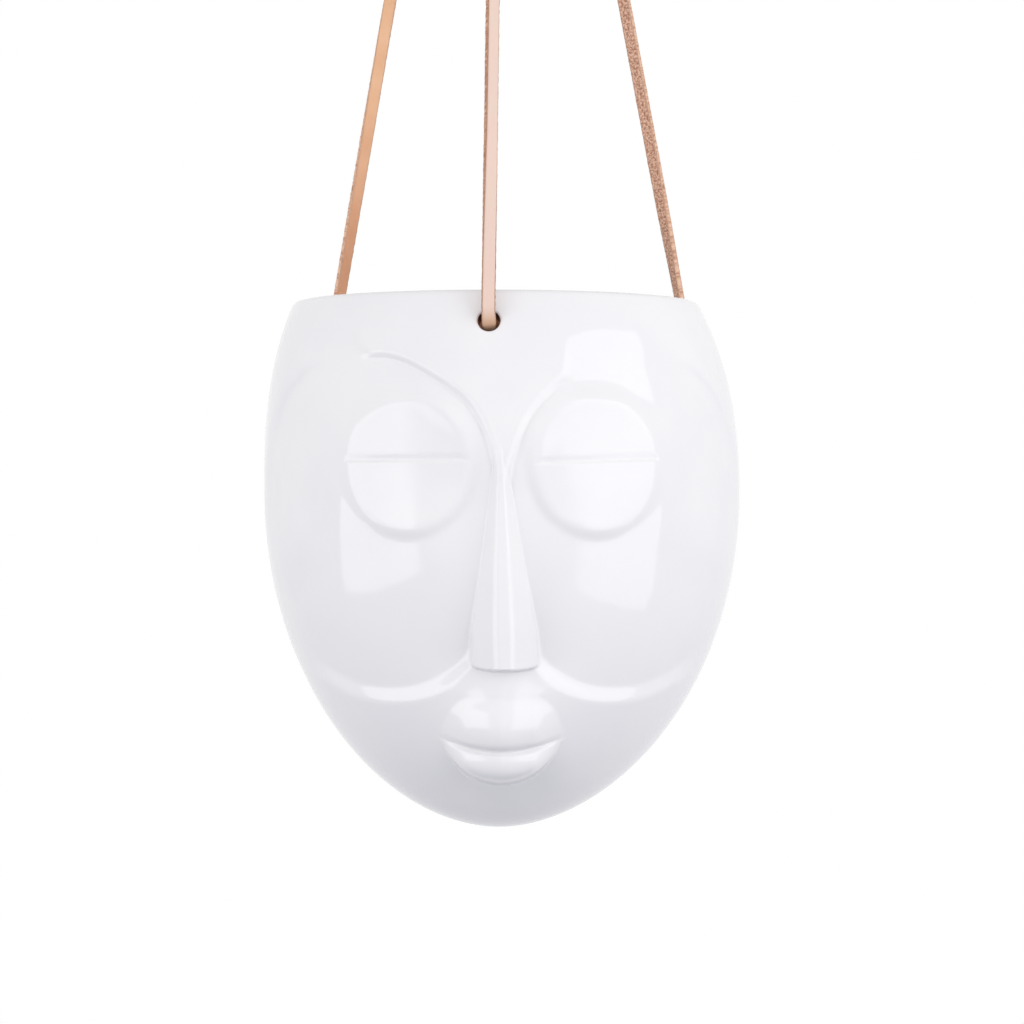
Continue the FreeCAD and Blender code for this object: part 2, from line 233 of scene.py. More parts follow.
def nose(x, height):
    """The nose over the egg: a flat ridge, slanting flanks and short steep walls, level at its tip."""
    half = nose_half_width(height)
    across = np.abs(x - nose_lean(height)) / half
    down = np.clip((NOSE_ROOT - height) / (NOSE_ROOT - NOSE_TIP), 0, 1)
    front = NOSE_FRONT - NOSE_FALL * down + NOSE_ARCH * down * (1 - down)
    ridge = NOSE_RIDGE_ROOT + (NOSE_RIDGE_TIP - NOSE_RIDGE_ROOT) * down
    fall = FLANK_SLOPE * half * higher(across - ridge, 0, 0.085)
    fall = fall + WING_SLOPE * half * higher(across - NOSE_FLANK, 0, 0.1)
    tip = NOSE_TIP + 1.6 * np.clip(across, 0, 1.2) ** 4
    fall = fall + TIP_SLOPE * higher(tip - height, 0, 0.5) + 0.5 * np.maximum(height - NOSE_ROOT, 0)
    return front - fall - np.sqrt(np.maximum(egg_radius(height) ** 2 - x * x, 0))


# Muzzle: how far it stands out of the egg in the middle of the mask, by height
MUZZLE_HEIGHTS = (-112, -104, -100, -96, -92, -86, -80, -75, -70, -65, -60, -55, -50)
MUZZLE_RISES = (0, 0.8, 2.6, 5.2, 7.8, 10.0, 9.8, 8.8, 7.4, 5.2, 2.2, 0.6, 0)

# Lower lip: how far it stands out of the muzzle, by its share of the way down from the mouth's line
LIP_DROPS = (-0.2, 0, 0.12, 0.24, 0.36, 0.48, 0.58, 0.66, 0.74, 0.82, 0.9, 1.02)
LIP_RISES = (1.2, 3.3, 4.8, 6.4, 7.95, 9.3, 10.2, 10.65, 10.4, 9.2, 6.4, 0)


def mouth_bow(x):
    """How far the line between the lips rises from its middle."""
    return MOUTH_BOW * np.clip(np.abs(x - FACE_MIDDLE) / MOUTH_HALF, 0, 1.2) ** 2


def lips(x, height):
    """The rise of the muzzle with the two lips on it, and the bowed line between them."""
    mouth = MOUTH_HEIGHT + mouth_bow(x)
    x = x - FACE_MIDDLE
    share = np.clip(np.abs(x) / MOUTH_HALF, 0, 1.4)
    taper = 1 - smooth(0.5, 1.08, share)
    top = mouth + UPPER_LIP_TALL * np.clip(1 - share**3, 0.05, 1) ** 0.45
    bottom = mouth - LOWER_LIP_TALL * np.clip(1 - share**2.4, 0.05, 1) ** 0.6
    rise = (height - mouth) / (top - mouth)
    swell = np.where(rise < 0.15, (0.15 - rise) / 0.15, (rise - 0.15) / 0.95)
    round_lip = np.clip(1 - np.clip(swell, 0, 1) ** 2, 0, 1)
    upper = UPPER_LIP_RISE * np.where(rise < 0.15, 0.65 + 0.35 * round_lip**0.6, round_lip**1.5)
    drop = (mouth - height) / (mouth - bottom)
    lower = eased(drop, LIP_DROPS, LIP_RISES, 0.025) * (1 - 0.4 * share**2)
    crease = LIP_CREASE * (1 - smooth(0.3, 1.8, np.abs(height - mouth)))
    muzzle = eased(height, MUZZLE_HEIGHTS, MUZZLE_RISES, 1.5) * np.exp(-((x / MUZZLE_SPREAD) ** 2))
    return muzzle + taper * (np.where(rise > 0, upper, lower) - crease)


def relief(x, height):
    """How far the mask stands out of the egg at a place seen from in front."""
    across, side = np.abs(x - FACE_MIDDLE), np.sign(x - FACE_MIDDLE)
    face = closed_eye(across, height, side) - hollow(across, height, side) + lips(x, height)
    return higher(face, nose(x, height), 0.8)


# Height of a row of the pot's faces, by height on the pot: fine at the brows, the eyes' lines,
# the nose's tip, the folds and the lips
ROW_HEIGHTS = (-117, -103, -99, -88, -81, -70, -61, -59.8, -57.8, -57, -45, -40, -19, -17, -9, -7,
               6, 8, 12.5, 14, 34, 37, 46, 48, 66)
ROW_GAPS = (1.6, 1.4, 0.8, 0.5, 0.5, 0.8, 0.8, 0.3, 0.3, 0.8, 0.9, 1.6, 1.5, 0.9, 0.9, 1.4,
            1.4, 0.4, 0.4, 0.75, 0.75, 0.4, 0.4, 1.6, 1.6)


def meridian(top):
    """Heights of the pot's rows from top to its bottom."""
    turn = np.linspace(0, math.pi / 2, 4000)
    heights = np.concatenate([np.linspace(top, 0, 2000)[:-1], -BOTTOM_DROP * np.sin(turn)])
    run = np.hypot(np.diff(heights), np.diff(egg_radius(heights)))
    middle = (heights[1:] + heights[:-1]) / 2
    count = np.concatenate([[0], np.cumsum(run / np.interp(middle, ROW_HEIGHTS, ROW_GAPS))])
    return np.interp(np.linspace(0, count[-1], int(count[-1]) + 1), count, heights)


# Columns of the pot's front: over the nose as shares of its half width, fine where its ridge ends
# and at its edge, then as shares of the rest of the way round
RIDGE_COLUMN, EDGE_COLUMN, LAST_NOSE_COLUMN = 0.22, 0.93, 1.15
NOSE_COLUMN_GAP, SIDE_COLUMN_GAP, FAR_COLUMN_EXTRA = 0.085, 0.0062, 0.016

# How far round the nose's columns reach low on the pot, as a sine, and on the forehead, in degrees
NOSE_SINE_LIMIT, FOREHEAD_ANGLE, FOREHEAD_HEIGHT = 0.162, 9.3, 34

# Columns of the pot's back and of its inside
BACK_COLUMNS, INSIDE_COLUMNS = 59, 150


def nose_gap(share):
    """Gap between the columns over the nose."""
    at_ridge = 0.055 * np.exp(-((np.abs(share) - RIDGE_COLUMN) / 0.08) ** 2)
    at_edge = 0.05 * np.exp(-((np.abs(share) - EDGE_COLUMN) / 0.12) ** 2)
    return NOSE_COLUMN_GAP - at_ridge - at_edge


def side_gap(share):
    """Gap between the columns beside the nose, wider at the pot's sides."""
    return SIDE_COLUMN_GAP + FAR_COLUMN_EXTRA * smooth(0.4, 0.85, share)


def column_angles(height, half, side):
    """The columns' angles round from the middle of the mask at one height, from left to right."""
    radius = egg_radius(height)
    nose_sine = np.minimum(nose_half_width(height) / np.maximum(radius, 1), NOSE_SINE_LIMIT)
    nose_angle = np.degrees(np.arcsin(nose_sine))
    nose_angle = nose_angle + (FOREHEAD_ANGLE - nose_angle) * smooth(NOSE_ROOT, FOREHEAD_HEIGHT, height)
    lean = np.degrees(np.arcsin(np.clip(nose_lean(height) / np.maximum(radius, 20), -1, 1)))
    inner = LAST_NOSE_COLUMN * nose_angle
    right = np.concatenate([half * nose_angle, inner + (90 - inner) * side[1:]])
    angles = np.concatenate([-right[:0:-1], right])
    return angles + lean * (1 - np.abs(angles) / 90)


def bends_left(*corners):
    """Whether three corners, each a turn, a point and a distance from the middle, go round leftwards."""
    places = ((away * math.cos(turn), away * math.sin(turn)) for turn, _, away in corners)
    (ax, ay), (bx, by), (cx, cy) = places
    return (bx - ax) * (cy - ay) - (by - ay) * (cx - ax) > 0


def twice_round(row, turns, aways):
    """A closed row's turns, points and distances from the middle, sorted by turn, for two times round."""
    corners = sorted(zip(np.mod(turns, FULL_TURN), row, aways))
    return corners + [(turn + FULL_TURN, point, away) for turn, point, away in corners]


class Shell:
    """Points and faces of a closed wall, gathered row by row; bore holds the points inside its holes."""

    def __init__(self):
        self.points = []
        self.faces = []
        self.bore = set()

    def row(self, points):
        """A row of points, and where they stand."""
        first = len(self.points)
        self.points.extend(map(tuple, points))
        return list(range(first, len(self.points)))

    def band(self, upper, lower):
        """Quads between two closed rows of as many points."""
        for i in range(len(upper)):
            j = (i + 1) % len(upper)
            self.faces.append((upper[i], upper[j], lower[j], lower[i]))

    def bands(self, rows):
        """Quads from each closed row to the next one."""
        for upper, lower in zip(rows, rows[1:]):
            self.band(upper, lower)

    def close_bottom(self, ring, height):
        """Triangles from the lowest row to the pot's bottom."""
        tip = self.row([(sway(height), 0, height)])[0]
        for i in range(len(ring)):
            self.faces.append((ring[i], ring[(i + 1) % len(ring)], tip))

    def lace_up(self, first, first_turns, second, second_turns, reach=None):
        """Triangles between two closed rows of different counts, each sorted by its turn.

        reach gives the distances of the first row's points and of the second row from the middle,
        so that no triangle folds over.
        """
        first_aways, second_away = reach or (np.ones(len(first)), 1.0)
        a = twice_round(first, first_turns, first_aways)
        b = twice_round(second, second_turns, [second_away] * len(second))
        i = j = 0
        while i < len(first) or j < len(second):
            folds = reach and j < len(second) and not bends_left(a[i], a[i + 1], b[j])
            first_is_next = i < len(first) and a[i + 1][0] <= b[j + 1][0] and not folds
            if first_is_next or j >= len(second):
                self.faces.append((a[i][1], a[i + 1][1], b[j][1]))
                i += 1
            else:
                self.faces.append((a[i][1], b[j + 1][1], b[j][1]))
                j += 1


def rim_arc(inset, into_wall, count):
    """One rounded edge of the rim from the wall up to the rim's plane: radii and heights."""
    low, high = 0.0, RIM
    for _ in range(50):
        height = (low + high) / 2
        slope = (egg_radius(height + 0.01, inset) - egg_radius(height - 0.01, inset)) / 0.02
        way = np.array([-1, slope]) * into_wall / math.hypot(1, slope)
        centre = np.array([egg_radius(height, inset), height]) + way * RIM_ROUND
        low, high = (height, high) if centre[1] + RIM_ROUND < RIM else (low, height)
    start = math.atan2(-way[1], -way[0]) % FULL_TURN
    turns = np.linspace(start, math.pi / 2, count)
    return centre[0] + RIM_ROUND * np.cos(turns), centre[1] + RIM_ROUND * np.sin(turns)


def lace_hole(turn):
    """A lace hole's middle on the egg, the way out along its axis, and two ways across it."""
    slope = (egg_radius(HOLE_HEIGHT + 0.01) - egg_radius(HOLE_HEIGHT - 0.01)) / 0.02
    away = np.array([math.sin(turn), -math.cos(turn), 0])
    middle = away * egg_radius(HOLE_HEIGHT) + np.array([0, 0, HOLE_HEIGHT])
    outward = away - np.array([0, 0, slope])
    outward /= np.linalg.norm(outward)
    aside = np.array([math.cos(turn), math.sin(turn), 0])
    return middle, outward, aside, np.cross(outward, aside)


def slide_to_wall(point, way, inset):
    """How far a point goes along a way to reach the egg's wall."""
    low, high = -12.0, 12.0
    for _ in range(40):
        middle = (low + high) / 2
        place = point + way * middle
        inside = math.hypot(place[0] - sway(place[2]), place[1]) < egg_radius(place[2], inset)
        low, high = (middle, high) if inside else (low, middle)
    return middle


def border_of(faces):
    """The closed border of a patch of faces, point after point."""
    edges = {(f[i], f[(i + 1) % len(f)]) for f in faces for i in range(len(f))}
    following = {a: b for a, b in edges if (b, a) not in edges}
    border = [next(iter(following))]
    while following[border[-1]] != border[0]:
        border.append(following[border[-1]])
    return border


def open_lace_hole(shell, bearing):
    """A round hole through the wall, with softly rounded edges outside and inside."""
    middle, outward, aside, upward = lace_hole(bearing)
    off = np.array(shell.points) - middle
    along = off @ outward
    radial = np.hypot(off @ aside, off @ upward)
    turns = np.arctan2(off @ upward, off @ aside)
    edge_radius = HOLE_RADIUS + HOLE_EDGE
    near = (radial < edge_radius + HOLE_MARGIN) & (np.abs(along) < 2 * WALL)
    kept, gone = [], []
    for face in shell.faces:
        (gone if any(near[v] for v in face) else kept).append(face)
    shell.faces = kept
    angles = np.arange(HOLE_COLUMNS) * FULL_TURN / HOLE_COLUMNS
    circle = [aside * math.cos(t) + upward * math.sin(t) for t in angles]
    rims = []
    for inset, inwards in ((0.0, -1), (WALL, 1)):
        border = border_of([f for f in gone if (along[list(f)].mean() > -WALL / 2) == (inset == 0)])
        border_turns = np.unwrap(turns[border])
        if border_turns[-1] < border_turns[0]:
            border, border_turns = border[::-1], border_turns[::-1]
        # A border point that would step back round the hole is moved on along the wall.
        two_rounds = np.concatenate([border_turns - FULL_TURN, border_turns])
        onward = np.maximum.accumulate(two_rounds)[len(border):]
        for v, turn, before in zip(border, onward, border_turns):
            if turn > before:
                place = middle + (aside * math.cos(turn) + upward * math.sin(turn)) * radial[v]
                shell.points[v] = tuple(place + outward * slide_to_wall(place, outward, inset))
        border_turns = onward + 1e-6 * np.arange(len(border))
        rings = []
        for bend in np.linspace(0, math.pi / 2, 5):
            radius = HOLE_RADIUS + HOLE_EDGE * (1 - math.sin(bend))
            depth = HOLE_EDGE * (1 - math.cos(bend))
            places = [middle + c * radius for c in circle]
            rings.append(shell.row(
                [p + outward * (slide_to_wall(p, outward, inset) + inwards * depth) for p in places]))
        shell.lace_up(border, border_turns, rings[0], angles, (radial[border], edge_radius))
        shell.bands(rings)
        rims.append(rings[-1])
        shell.bore.update(rings[-1])
    shell.bands(rims)


def plain_mesh(name, points, faces, marks):
    """A smooth mesh object in the row frame, its faces pointing outwards.

    marks name sets of points that a finish asks for.
    """
    mesh = bpy.data.meshes.new(name)
    mesh.from_pydata([tuple(p) for p in points], [], faces)
    for mark, members in marks.items():
        values = mesh.attributes.new(mark, "FLOAT", "POINT")
        values.data.foreach_set("value", np.isin(np.arange(len(points)), list(members)).astype(np.float32))
    shape = bmesh.new()
    shape.from_mesh(mesh)
    loose = [v for v in shape.verts if not v.link_faces]
    bmesh.ops.delete(shape, geom=loose, context="VERTS")
    bmesh.ops.recalc_face_normals(shape, faces=shape.faces)
    shape.to_mesh(mesh)
    shape.free()
    mesh.shade_smooth()
    piece = bpy.data.objects.new(name, mesh)
    bpy.context.scene.collection.objects.link(piece)
    return piece


def outer_wall(shell, columns, back):
    """The wall's outside with the mask, from the rim's plane down; gives back its topmost row."""
    still_bowed = sum(np.exp(-((np.degrees(back) - end) / 14) ** 2) for end in (90, 270))
    arc_radii, arc_heights = rim_arc(0.0, into_wall=1, count=7)
    levels = [(r, h, False) for r, h in zip(arc_radii[::-1], arc_heights[::-1])]
    levels += [(egg_radius(h), h, True) for h in meridian(arc_heights[0])[1:-1]]
    rows = []
    for radius, height, carved in levels:
        front = np.radians(column_angles(height, *columns))
        turns = np.concatenate([front, back])
        level = np.full_like(turns, height)
        if carved:
            bow = mouth_bow(radius * np.sin(front)) * math.exp(-((height - MOUTH_HEIGHT) / 7) ** 2)
            level = level + np.concatenate([bow, bow[-1] * still_bowed])
            radius = egg_radius(level)
        x, y = radius * np.sin(turns), -radius * np.cos(turns)
        if carved:
            fade = 1 - smooth(*np.radians(MASK_FADE), np.abs(front))
            y[:len(front)] -= relief(x[:len(front)], level[:len(front)]) * fade
        rows.append(shell.row(np.stack([x + sway(level), y, level], axis=1)))
    shell.bands(rows)
    shell.close_bottom(rows[-1], -BOTTOM_DROP)
    return rows[0]


def level_ring(shell, radius, height, turns):
    """A level row of points round the pot."""
    return shell.row([(radius * math.sin(t) + sway(height), -radius * math.cos(t), height) for t in turns])


def inner_wall(shell, outer_rim, rim_turns):
    """The rim's inner edge, on from its outer one, and the wall's inside."""
    radii, heights = rim_arc(WALL, into_wall=-1, count=6)
    rim = [level_ring(shell, r, h, rim_turns) for r, h in zip(radii[::-1], heights[::-1])]
    for previous, ring in zip([outer_rim, *rim], rim):
        shell.band(ring, previous)
    around = np.arange(INSIDE_COLUMNS) * FULL_TURN / INSIDE_COLUMNS
    turn = np.linspace(0, math.pi / 2, 30)[1:-1]
    upper, lower = np.linspace(heights[0], 0, 26)[1:], (WALL - BOTTOM_DROP) * np.sin(turn)
    rows = [level_ring(shell, egg_radius(h, WALL), h, around) for h in np.concatenate([upper, lower])]
    shell.lace_up(rim[-1], rim_turns, rows[0], around)
    shell.bands(rows)
    shell.close_bottom(rows[-1], WALL - BOTTOM_DROP)


def glazed_pot():
    """The pot as one closed wall: outside with the mask, rounded rim, inside and the three lace holes."""
    shell = Shell()
    columns = graded(0, LAST_NOSE_COLUMN, nose_gap), graded(0, 1, side_gap)
    back = np.radians(np.linspace(90, 270, BACK_COLUMNS + 2)[1:-1])
    outer_rim = outer_wall(shell, columns, back)
    inner_wall(shell, outer_rim, np.concatenate([np.radians(column_angles(RIM, *columns)), back]))
    for turn in LACE_TURNS.values():
        open_lace_hole(shell, math.radians(turn))
    points = np.array(shell.points) + np.array([0, 0, WIDEST_Z])
    return plain_mesh("glazed_pot", points * MM, shell.faces, {"bore": shell.bore})


# Node trees


class Wire:
    """An output socket of a node tree that sums can be written with."""

    def __init__(self, tree, socket):
        self.tree = tree
        self.socket = socket

    @classmethod
    def node(cls, tree, kind, settings=None, inputs=None, output=0):
        """A new node: its settings first, then the values or links of its sockets."""
        node = tree.nodes.new(kind)
        for name, value in (settings or {}).items():
            setattr(node, name, value)
        for key, value in (inputs or {}).items():
            if isinstance(value, Wire):
                tree.links.new(value.socket, node.inputs[key])
            else:
                node.inputs[key].default_value = value
        return cls(tree, node.outputs[output] if node.outputs else None)

    def sum(self, operation, *others):
        """A Math node on this socket and others."""
        terms = dict(enumerate((self, *others)))
        return Wire.node(self.tree, "ShaderNodeMath", {"operation": operation}, terms)

    def __add__(self, other):
        return self.sum("ADD", other)

    def __sub__(self, other):
        return self.sum("SUBTRACT", other)

    def __mul__(self, other):
        return self.sum("MULTIPLY", other)

    def __truediv__(self, other):
        return self.sum("DIVIDE", other)

    def __rsub__(self, other):
        return (self * -1) + other

    __radd__ = __add__
    __rmul__ = __mul__

    def step(self, low, high):
        """0 to 1 between two values, eased."""
        return Wire.node(self.tree, "ShaderNodeMapRange", {"interpolation_type": "SMOOTHSTEP"},
                         {"Value": self, "From Min": low, "From Max": high})


def mix_colours(tree, share, first, second):
    """A colour between two by a share."""
    return Wire.node(tree, "ShaderNodeMix", {"data_type": "RGBA"}, {0: share, 6: first, 7: second}, 2)


def noise(tree, place, scale, detail, rough=0.5):
    """Cloudy values from 0 to 1 at a place."""
    return Wire.node(tree, "ShaderNodeTexNoise", None,
                     {"Vector": place, "Scale": scale, "Detail": detail, "Roughness": rough})


def finish(name, slot_colour, paint):
    """A material whose surface paint() sets out on a new Principled shader."""
    material = bpy.data.materials.new(name)
    material.use_nodes = True
    material.diffuse_color = slot_colour
    tree = material.node_tree
    tree.nodes.clear()
    shader = Wire.node(tree, "ShaderNodeBsdfPrincipled")
    Wire.node(tree, "ShaderNodeOutputMaterial", None, {"Surface": shader})
    sockets = shader.socket.node.inputs
    for socket, value in paint(tree).items():
        if isinstance(value, Wire):
            tree.links.new(value.socket, sockets[socket])
        else:
            sockets[socket].default_value = value
    return material


def bump(tree, height, distance, strength):
    """A normal from heights of 0 to 1, as deep as distance."""
    return Wire.node(tree, "ShaderNodeBump", None,
                     {"Height": height, "Distance": distance, "Strength": strength})


def white_glaze(tree):
    """Glossy white glaze: a breath of tone, faint waves, a few pinholes, and painted shade inside the lace
    holes.
    """
    place = Wire.node(tree, "ShaderNodeTexCoord", None, None, "Object")
    clouds = noise(tree, place, 26.0, 3.0)
    waves = noise(tree, place, 95.0, 1.0)
    pores = Wire.node(tree, "ShaderNodeTexVoronoi", None, {"Vector": place, "Scale": 210.0})
    pin = 1 - pores.step(0.01, 0.045)
    rare = noise(tree, place, 160.0, 0.0).step(0.72, 0.78)
    pinholes = pin * rare
    bore = Wire.node(tree, "ShaderNodeAttribute", {"attribute_name": "bore"}, None, "Fac")
    base = mix_colours(tree, clouds.step(0.3, 0.7), (0.822, 0.818, 0.834, 1), (0.848, 0.843, 0.850, 1))
    colour = mix_colours(tree, pinholes * 0.35, base, (0.55, 0.52, 0.49, 1))
    # painted shade: the insides of the lace holes are coloured near black-brown for the shade that fills them
    bore_painted_shade = (0.06, 0.028, 0.018, 1)
    colour = mix_colours(tree, bore.step(0.35, 1.0), colour, bore_painted_shade)
    return {
        "Base Color": colour,
        "Roughness": clouds * 0.05 + 0.05 + pinholes * 0.2,
        "IOR": 1.5,
        "Normal": bump(tree, waves - pinholes * 0.8, 0.00006, 0.6),
    }


def lace_leather(tree):
    """Vegetable-tanned lace: smooth on its grain face, rough on its flesh face and at its cut edges."""
    def own(name):
        return Wire.node(tree, "ShaderNodeAttribute", {"attribute_name": name}, None, "Fac")
    along, across, grain = own("along"), own("across"), own("grain")
    place = Wire.node(tree, "ShaderNodeCombineXYZ", None, {0: across, 1: grain * 0.01, 2: along})
    smooth_side = grain.step(0.3, 0.8)
    flesh_side = (grain * -1).step(0.3, 0.8)
    edge = 1 - smooth_side - flesh_side
    clouds = noise(tree, place, 70.0, 3.0)
    fibre = noise(tree, place, 1200.0, 4.0, 0.7)
    nap = noise(tree, place, 2600.0, 2.0, 0.6)
    pores = Wire.node(tree, "ShaderNodeTexVoronoi", None, {"Vector": place, "Scale": 2600.0})
    tone = own("tone")
    cloud = clouds.step(0.3, 0.72)
    fair = mix_colours(tree, cloud, (0.80, 0.585, 0.50, 1), (0.77, 0.60, 0.50, 1))
    honey = mix_colours(tree, cloud, (0.82, 0.49, 0.29, 1), (0.77, 0.43, 0.24, 1))
    deep = mix_colours(tree, cloud, (0.69, 0.30, 0.16, 1), (0.63, 0.26, 0.13, 1))
    grain_face = mix_colours(tree, tone.step(0.0, 0.5), fair, honey)
    grain_face = mix_colours(tree, tone.step(0.5, 1.0), grain_face, deep)
    flesh_face = mix_colours(tree, fibre.step(0.40, 0.60), (0.38, 0.165, 0.105, 1), (0.86, 0.55, 0.39, 1))
    bare_edge = fibre - (1 - tone.step(0.05, 0.3)) * 0.11
    cut_edge = mix_colours(tree, bare_edge.step(0.3, 0.6), (0.42, 0.18, 0.10, 1), (0.82, 0.53, 0.37, 1))
    colour = mix_colours(tree, flesh_side, mix_colours(tree, edge, grain_face, cut_edge), flesh_face)
    rough = 0.42 + clouds * 0.12 + (1 - smooth_side) * 0.4
    relief_height = (1 - smooth_side) * fibre + smooth_side * pores.step(0.0, 0.5) * 0.12 + nap * 0.05
    return {
        "Base Color": colour,
        "Roughness": rough,
        "Normal": bump(tree, relief_height, 0.00045, 0.8),
        "Sheen Weight": 0.15,
        "Sheen Roughness": 0.5,
    }


def ring_steel(tree):
    """Satin steel wire with fine draw lines and small handling marks."""
    place = Wire.node(tree, "ShaderNodeTexCoord", None, None, "Object")
    clouds = noise(tree, place, 180.0, 4.0)
    lines = noise(tree, place, 2500.0, 2.0, 0.7)
    marks = noise(tree, place, 700.0, 2.0).step(0.6, 0.7)
    return {
        "Base Color": mix_colours(tree, clouds, (0.55, 0.54, 0.52, 1), (0.66, 0.65, 0.63, 1)),
        "Metallic": 1.0,
        "Roughness": 0.24 + clouds * 0.12 + marks * 0.12,
        "Normal": bump(tree, lines + marks * 0.5, 0.00003, 0.6),
    }


glaze = finish("white_glaze", (0.87, 0.87, 0.86, 1), white_glaze)
leather = finish("lace_leather", (0.66, 0.44, 0.29, 1), lace_leather)
steel = finish("ring_steel", (0.60, 0.59, 0.57, 1), ring_steel)


def flat_lace_tree():
    """Flat lace along a line of points that know which way the lace's face looks."""
    tree = bpy.data.node_groups.new("flat_lace", "GeometryNodeTree")
    sizes = {"Width": LACE_WIDTH, "Thickness": LACE_THICKNESS, "Edge round": 0.0005, "Step": 0.0007,
             "Ragged": 0.00028}
    tree.interface.new_socket("Line", in_out="INPUT", socket_type="NodeSocketGeometry")
    for name, value in sizes.items():
        tree.interface.new_socket(name, in_out="INPUT", socket_type="NodeSocketFloat").default_value = value
    tree.interface.new_socket("Leather", in_out="INPUT", socket_type="NodeSocketMaterial")
    tree.interface.new_socket("Lace", in_out="OUTPUT", socket_type="NodeSocketGeometry")
    start = tree.nodes.new("NodeGroupInput")

    def given(name):
        return Wire(tree, start.outputs[name])

    def node(kind, settings=None, inputs=None, output=0):
        return Wire.node(tree, kind, settings, inputs, output)

    line = node("GeometryNodeMeshToCurve", None, {"Mesh": given("Line")})
    face_way = node("GeometryNodeInputNamedAttribute", {"data_type": "FLOAT_VECTOR"}, {"Name": "face_way"})
    line = node("GeometryNodeSetCurveNormal", {"mode": "FREE"}, {"Curve": line, "Normal": face_way})
    line = node("GeometryNodeResampleCurve", {"mode": "LENGTH"}, {"Curve": line, "Length": given("Step")})
    length = node("GeometryNodeSplineParameter", None, None, "Length")
    line = node("GeometryNodeStoreNamedAttribute", {"data_type": "FLOAT", "domain": "POINT"},
                {"Geometry": line, "Name": "along", "Value": length})
    section = node("GeometryNodeCurvePrimitiveQuadrilateral", None,
                   {"Width": given("Thickness"), "Height": given("Width")})
    section = node("GeometryNodeFilletCurve", {"mode": "POLY"},
                   {"Curve": section, "Count": 4, "Radius": given("Edge round")})
    section = node("GeometryNodeResampleCurve", {"mode": "LENGTH"},
                   {"Curve": section, "Length": LACE_SECTION_STEP})
    place = node("GeometryNodeInputPosition")
    apart = node("ShaderNodeSeparateXYZ", None, {0: place})
    through, across = Wire(tree, apart.socket.node.outputs[0]), Wire(tree, apart.socket.node.outputs[1])
    section = node("GeometryNodeStoreNamedAttribute", {"data_type": "FLOAT", "domain": "POINT"},
                   {"Geometry": section, "Name": "across", "Value": across})
    side = through * 2 / given("Thickness")
    inside_edge = 1 - (across.sum("ABSOLUTE") * 2 / given("Width")).step(0.86, 0.97)
    section = node("GeometryNodeStoreNamedAttribute", {"data_type": "FLOAT", "domain": "POINT"},
                   {"Geometry": section, "Name": "grain", "Value": side * inside_edge})
    lace = node("GeometryNodeCurveToMesh", None, {"Curve": line, "Profile Curve": section, "Fill Caps": True})
    grain = node("GeometryNodeInputNamedAttribute", {"data_type": "FLOAT"}, {"Name": "grain"})
    rough = 1 - grain.step(0.2, 0.7)
    ragged = node("ShaderNodeTexNoise", None, {"Scale": 900.0, "Detail": 3.0, "Roughness": 0.65}) - 0.5
    push = rough * ragged * given("Ragged") * 2
    normal = node("GeometryNodeInputNormal")
    offset = node("ShaderNodeVectorMath", {"operation": "SCALE"}, {0: normal, "Scale": push})
    lace = node("GeometryNodeSetPosition", None, {"Geometry": lace, "Offset": offset})
    lace = node("GeometryNodeSetShadeSmooth", None, {"Geometry": lace})
    lace = node("GeometryNodeRealizeInstances", None, {"Geometry": lace})
    lace = node("GeometryNodeSetMaterial", None, {"Geometry": lace, "Material": given("Leather")})
    end = tree.nodes.new("NodeGroupOutput")
    tree.links.new(lace.socket, end.inputs["Lace"])
    return tree


flat_lace = flat_lace_tree()


def share_along(points):
    """How far along a run each of its points lies, from 0 to 1."""
    run = np.concatenate([[0], np.cumsum(np.linalg.norm(np.diff(points, axis=0), axis=1))])
    return run / run[-1]


def flat_piece(name, runs, tone):
    """A piece of lace along runs of points, its grain face looking along each run's ways.

    tone gives the leather's colour by the share of a run, from 0 for fair to 1 for deep; near the lace holes
    it also carries painted shade.
    """
    line = bpy.data.meshes.new(name)
    points, edges = [], []
    for run, _ in runs:
        edges += [(len(points) + i, len(points) + i + 1) for i in range(len(run) - 1)]
        points += [tuple(p) for p in run]
    line.from_pydata(points, edges, [])
    ways = line.attributes.new("face_way", "FLOAT_VECTOR", "POINT")
    ways.data.foreach_set("vector", np.concatenate([w for _, w in runs]).astype(np.float32).ravel())
    tones = line.attributes.new("tone", "FLOAT", "POINT")
    run_tones = [tone(share_along(run)) for run, _ in runs]
    tones.data.foreach_set("value", np.concatenate(run_tones).astype(np.float32))
    piece = bpy.data.objects.new(name, line)
    bpy.context.scene.collection.objects.link(piece)
    modifier = piece.modifiers.new("flat_lace", "NODES")
    modifier.node_group = flat_lace
    for socket in flat_lace.interface.items_tree:
        if socket.name == "Leather":
            modifier[socket.identifier] = leather
    ready = piece.evaluated_get(bpy.context.evaluated_depsgraph_get())
    mesh = bpy.data.meshes.new_from_object(ready)
    piece.modifiers.clear()
    piece.data = mesh
    mesh.name = name
    return piece


def tie_on(piece, node):
    """A finished piece of leather takes a node's place on the hung pot."""
    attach(piece, "hung_pot")
    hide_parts(node)


def smooth_route(name, controls):
    """Points along the smooth NURBS line that a few control points give."""
    curve = bpy.data.curves.new(name, "CURVE")
    curve.dimensions = "3D"
    spline = curve.splines.new("NURBS")
    spline.points.add(len(controls) - 1)
    for point, place in zip(spline.points, controls):
        point.co = (*place, 1)
    spline.order_u = 3
    spline.use_endpoint_u = True
    spline.resolution_u = 90
    route = bpy.data.objects.new(name, curve)
    bpy.context.scene.collection.objects.link(route)
    ready = route.evaluated_get(bpy.context.evaluated_depsgraph_get())
    mesh = bpy.data.meshes.new_from_object(ready)
    points = np.array([v.co[:] for v in mesh.vertices])
    bpy.data.objects.remove(route)
    bpy.data.meshes.remove(mesh)
    return points


